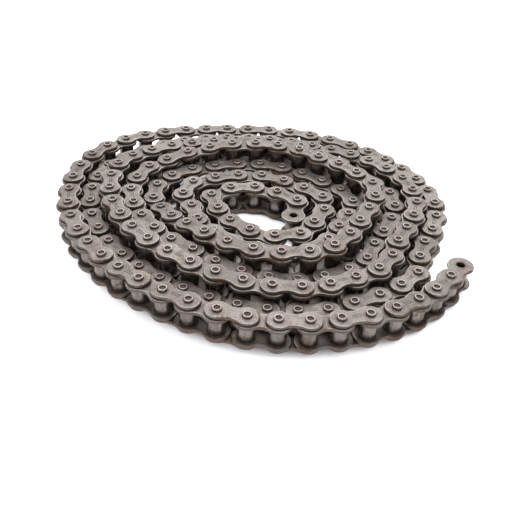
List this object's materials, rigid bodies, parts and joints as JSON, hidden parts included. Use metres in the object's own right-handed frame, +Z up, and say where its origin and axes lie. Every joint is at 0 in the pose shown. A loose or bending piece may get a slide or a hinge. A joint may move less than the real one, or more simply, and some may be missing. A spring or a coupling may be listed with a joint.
{
  "type": "roller chain",
  "caption": "Long steel roller chain lying on its side, wound into a flat nested spiral coil, with a free inner link at each end.",
  "frame": {"origin": "on the floor, under the middle of the coil's box", "axes": "+Z up along the chain's pins, -Y towards the side where the coil's outer free end lies on the right, +X to the right"},
  "size_m": [0.4067, 0.3794, 0.0455],
  "materials": {
    "chain_steel": "worn satin steel with rust and oil stains",
    "end_link_steel": "worn satin steel with rust and oil stains"
  },
  "bodies": {
    "root": {"chain_run_01": "chain_steel", "chain_run_02": "chain_steel", "chain_run_03": "chain_steel", "chain_run_04": "chain_steel", "chain_run_05": "chain_steel", "chain_run_06": "chain_steel", "chain_run_07": "chain_steel", "chain_run_08": "chain_steel", "chain_run_09": "chain_steel", "chain_run_10": "chain_steel", "chain_run_11": "chain_steel", "chain_run_12": "chain_steel", "chain_run_13": "chain_steel", "chain_run_14": "chain_steel", "chain_run_15": "chain_steel", "chain_run_16": "chain_steel", "chain_run_17": "chain_steel", "chain_run_18": "chain_steel", "chain_run_19": "chain_steel", "chain_run_20": "chain_steel", "chain_run_21": "chain_steel", "chain_run_22": "chain_steel", "chain_run_23": "chain_steel", "chain_run_24": "chain_steel", "chain_run_25": "chain_steel", "chain_run_26": "chain_steel", "chain_run_27": "chain_steel", "chain_run_28": "chain_steel", "chain_run_29": "chain_steel", "chain_run_30": "chain_steel", "chain_run_31": "chain_steel", "chain_run_32": "chain_steel", "chain_run_33": "chain_steel", "chain_run_34": "chain_steel", "chain_run_35": "chain_steel", "chain_run_36": "chain_steel", "chain_run_37": "chain_steel", "chain_run_38": "chain_steel", "chain_run_39": "chain_steel", "chain_run_40": "chain_steel", "chain_run_41": "chain_steel", "chain_run_42": "chain_steel", "chain_run_43": "chain_steel", "chain_run_44": "chain_steel", "chain_run_45": "chain_steel", "chain_run_46": "chain_steel", "chain_run_47": "chain_steel", "chain_run_48": "chain_steel", "chain_run_49": "chain_steel", "chain_run_50": "chain_steel", "outer_end_top_plate": "end_link_steel", "outer_end_bottom_plate": "end_link_steel", "outer_end_free_roller": "end_link_steel", "outer_end_held_roller": "end_link_steel", "inner_end_top_plate": "end_link_steel", "inner_end_bottom_plate": "end_link_steel", "inner_end_free_roller": "end_link_steel", "inner_end_held_roller": "end_link_steel"}
  },
  "joints": []
}
